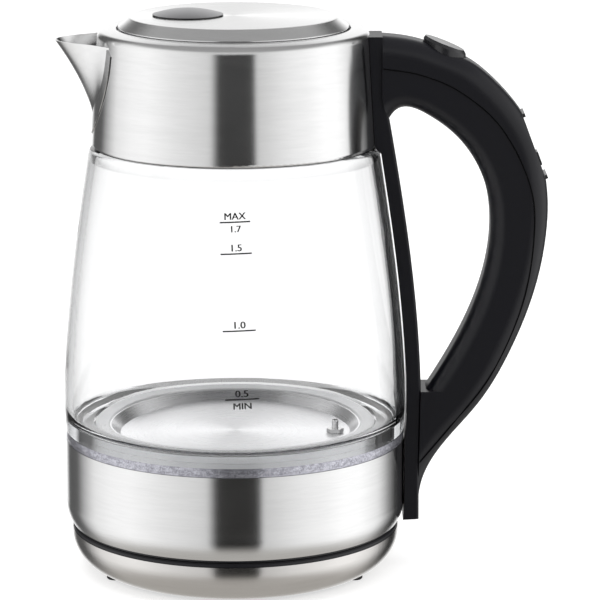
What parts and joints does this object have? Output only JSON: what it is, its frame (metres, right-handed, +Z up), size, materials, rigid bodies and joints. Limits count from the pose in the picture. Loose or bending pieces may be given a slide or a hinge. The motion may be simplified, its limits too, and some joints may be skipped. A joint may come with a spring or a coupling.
{
  "type": "electric kettle",
  "caption": "Cordless electric glass kettle: glass jug with steel collar, spout and band, D-shaped handle with lid button, hinged lid, lifting off a round powered base.",
  "frame": {"origin": "on the jug's vertical axis, at the level of the surface that the feet stand on", "axes": "+Z up along the jug's axis, +X towards the handle, -X towards the spout, +Y towards the cord outlet"},
  "size_m": [0.222, 0.1558, 0.2575],
  "materials": {
    "brushed_steel": "circumferentially brushed stainless steel",
    "polished_steel": "polished stainless steel",
    "plate_steel": "radially brushed stainless steel",
    "screw_steel": "zinc plated",
    "spring_steel": "bright spring wire",
    "satin_black_plastic": "satin moulded black plastic",
    "connector_plastic": "heat resistant moulding",
    "mechanism_plastic": "acetal moulding",
    "pale_plastic": "heat resistant moulding, natural white",
    "button_plastic": "satin black plastic, polished by touch",
    "gloss_black": "gloss black",
    "rubber": "matt black rubber",
    "clear_glass": "clear borosilicate glass",
    "silicone": "translucent grey silicone",
    "pale_silicone": "translucent white silicone",
    "aluminium": "cast and machined",
    "element_sheath": "matt sheath",
    "contact_brass": "brass",
    "circuit_board": "green board"
  },
  "bodies": {
    "base": {"base_skirt": "brushed_steel", "base_deck": "satin_black_plastic", "base_underside": "satin_black_plastic", "base_connector": "connector_plastic", "base_contacts": "contact_brass", "base_feet": "rubber", "base_screws": "screw_steel", "cord_gland": "rubber"},
    "jug_socket": {"jug_connector": "connector_plastic"},
    "jug": {"lower_band": "brushed_steel", "collar": "brushed_steel", "spout": "brushed_steel", "hinge_pin": "polished_steel", "temperature_probe": "polished_steel", "spout_filter": "polished_steel", "heating_plate": "plate_steel", "underside_screws": "screw_steel", "handle_screws": "screw_steel", "button_spring": "spring_steel", "latch_spring": "spring_steel", "lid_spring": "spring_steel", "jug_underside": "satin_black_plastic", "handle_strap": "satin_black_plastic", "handle_grip": "satin_black_plastic", "handle_cover": "satin_black_plastic", "neck_ring": "satin_black_plastic", "dry_boil_control": "connector_plastic", "clamp_ring": "pale_plastic", "hinge_bracket": "mechanism_plastic", "latch_housing": "mechanism_plastic", "panel_bezel": "gloss_black", "display_window": "gloss_black", "glass_jar": "clear_glass", "jar_seal_ring": "silicone", "collar_seal": "silicone", "plate_gasket": "pale_silicone", "heat_diffuser": "aluminium", "heating_element": "element_sheath", "control_board": "circuit_board"},
    "lid": {"lid_cap": "brushed_steel", "lid_dome": "polished_steel", "dome_ring": "gloss_black", "lid_inner": "satin_black_plastic", "lid_screws": "screw_steel", "lid_seal": "silicone", "lid_hinge_arm": "mechanism_plastic"},
    "lid_button": {"lid_button": "button_plastic"},
    "latch_slider": {"latch_slider": "mechanism_plastic"},
    "power_key": {"power_key": "button_plastic"}
  },
  "joints": [
    {"name": "jug_lift", "type": "slide", "parent": "base", "child": "jug_socket", "axis": [0, 0, 1], "range_m": [0, 0.1]},
    {"name": "jug_swivel", "type": "hinge", "parent": "jug_socket", "child": "jug", "pos_m": [0, 0, 0.03], "axis": [0, 0, 1], "continuous": true},
    {"name": "lid_hinge", "type": "hinge", "parent": "jug", "child": "lid", "pos_m": [0.056, 0, 0.24], "axis": [0, 1, 0], "range_deg": [0, 75]},
    {"name": "lid_button_press", "type": "slide", "parent": "jug", "child": "lid_button", "axis": [0, 0, -1], "range_m": [0, 0.003], "stiffness_N_per_m": 300, "springref_m": -0.004, "deforming": ["button_spring"]},
    {"name": "latch_release", "type": "slide", "parent": "jug", "child": "latch_slider", "axis": [1, 0, 0], "range_m": [0, 0.003], "stiffness_N_per_m": 150, "springref_m": -0.003, "deforming": ["latch_spring"]},
    {"name": "power_key_press", "type": "slide", "parent": "jug", "child": "power_key", "axis": [-0.9361, 0, -0.3518], "range_m": [0, 0.0006], "stiffness_N_per_m": 800, "springref_m": -0.0008}
  ],
  "couplings": [
    {"joint": "latch_release", "follows": "lid_button_press", "ratio": 1}
  ]
}
